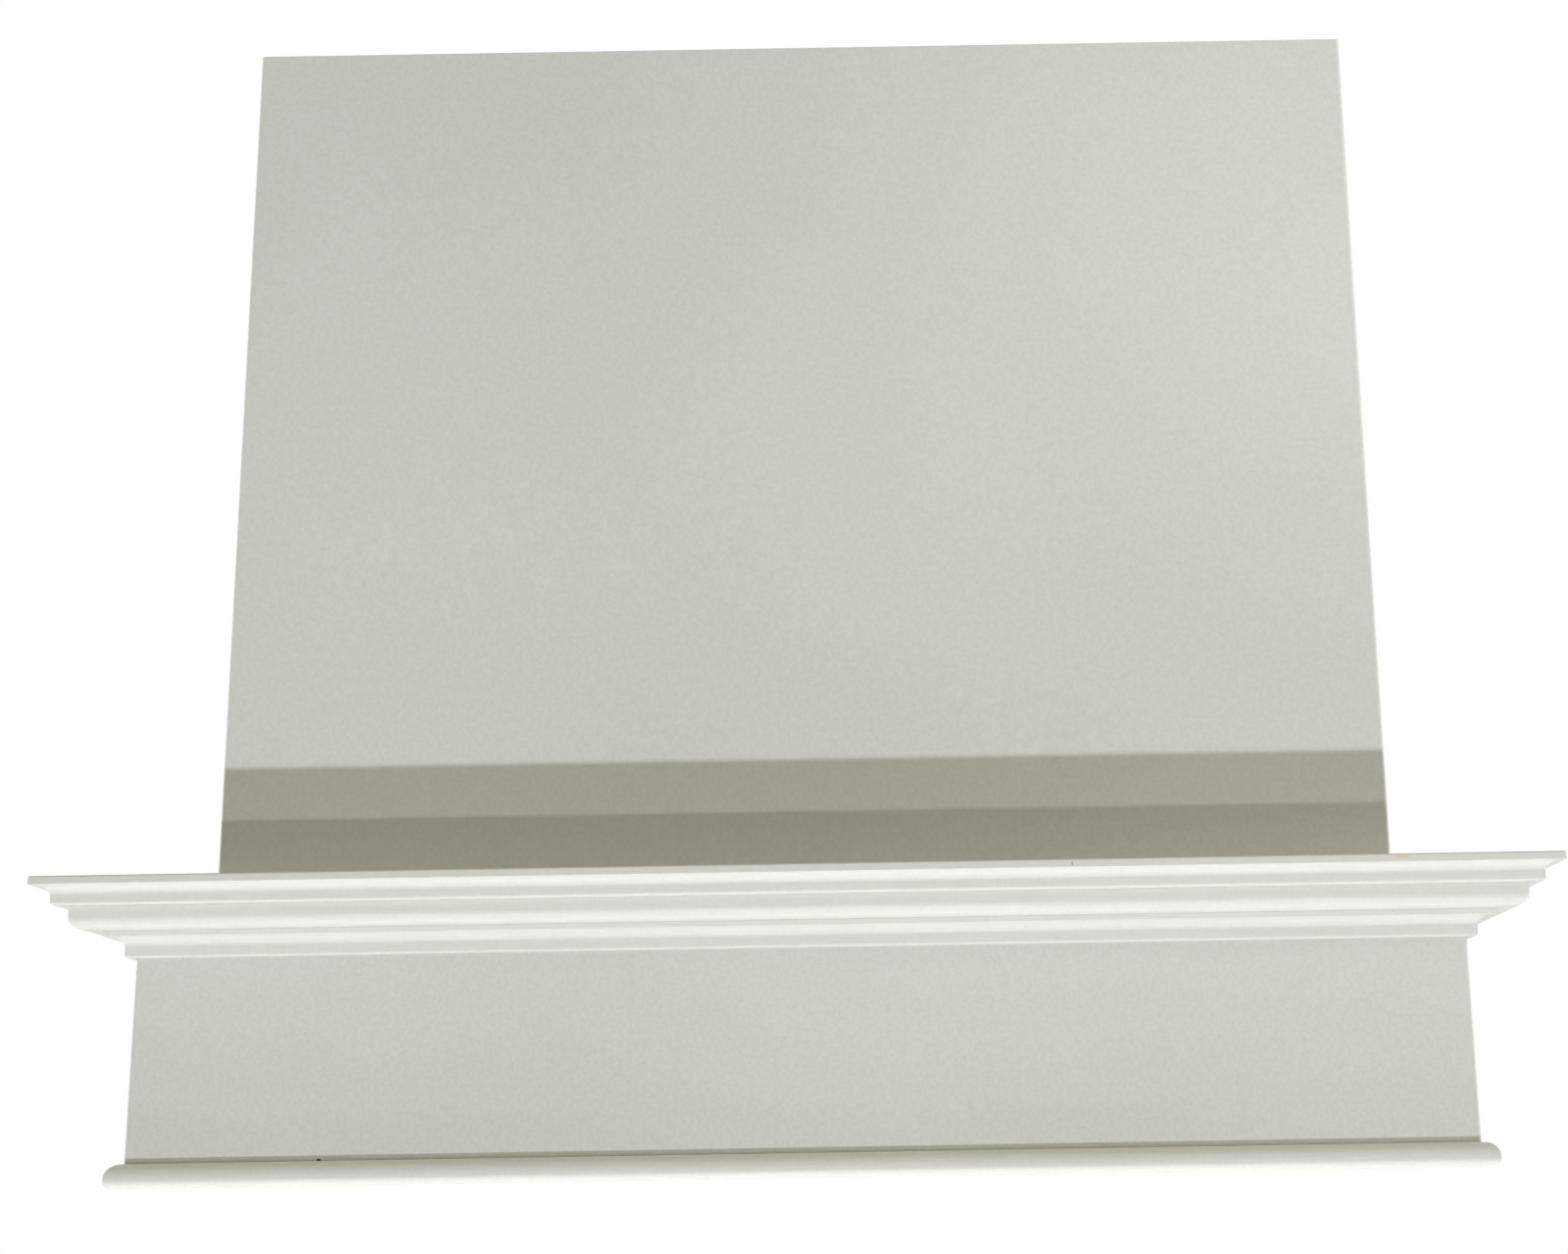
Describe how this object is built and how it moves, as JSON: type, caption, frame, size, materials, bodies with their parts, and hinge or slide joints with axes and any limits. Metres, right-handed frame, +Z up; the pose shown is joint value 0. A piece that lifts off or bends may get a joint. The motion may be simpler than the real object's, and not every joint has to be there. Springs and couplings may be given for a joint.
{
  "type": "range hood cover",
  "caption": "White-painted wooden range hood cover: a plain upright box above a wider apron with a stepped crown moulding and a rounded lower edge, open inside, hung on a wall cleat.",
  "frame": {"origin": "on the wall plane, at the middle of the cover's width, level with its underside", "axes": "+X to the right seen from the room, +Y into the wall, +Z up; the front faces -Y"},
  "size_m": [1.1268, 0.6143, 0.934],
  "materials": {
    "white_paint": "satin white paint on board",
    "pine": "bare sawn softwood",
    "plywood": "bare plywood",
    "screw_steel": "zinc plated"
  },
  "bodies": {
    "wall_side": {"wall_cleat": "plywood"},
    "cover": {"apron_front": "white_paint", "apron_left": "white_paint", "apron_right": "white_paint", "bed_mould_front": "white_paint", "bed_mould_left": "white_paint", "bed_mould_right": "white_paint", "body_front": "white_paint", "body_left": "white_paint", "body_right": "white_paint", "corner_block_left": "pine", "corner_block_right": "pine", "furring_front_lower": "pine", "furring_front_upper": "pine", "furring_left_lower": "pine", "furring_left_upper": "pine", "furring_right_lower": "pine", "furring_right_upper": "pine", "hanging_rail": "plywood", "insert_ledger_front": "pine", "insert_ledger_left": "pine", "insert_ledger_right": "pine", "ledge_front": "white_paint", "ledge_left": "white_paint", "ledge_right": "white_paint", "ledger_screws": "screw_steel", "lower_rear_rail": "plywood", "nose_front": "white_paint", "nose_left": "white_paint", "nose_right": "white_paint", "ovolo_front": "white_paint", "ovolo_left": "white_paint", "ovolo_right": "white_paint", "pocket_screws": "screw_steel", "top_nailer_front": "pine", "top_nailer_left": "pine", "top_nailer_right": "pine"}
  },
  "joints": [
    {"name": "lift_off", "type": "slide", "parent": "wall_side", "child": "cover", "axis": [0, 0, 1], "range_m": [0, 0.03]}
  ]
}
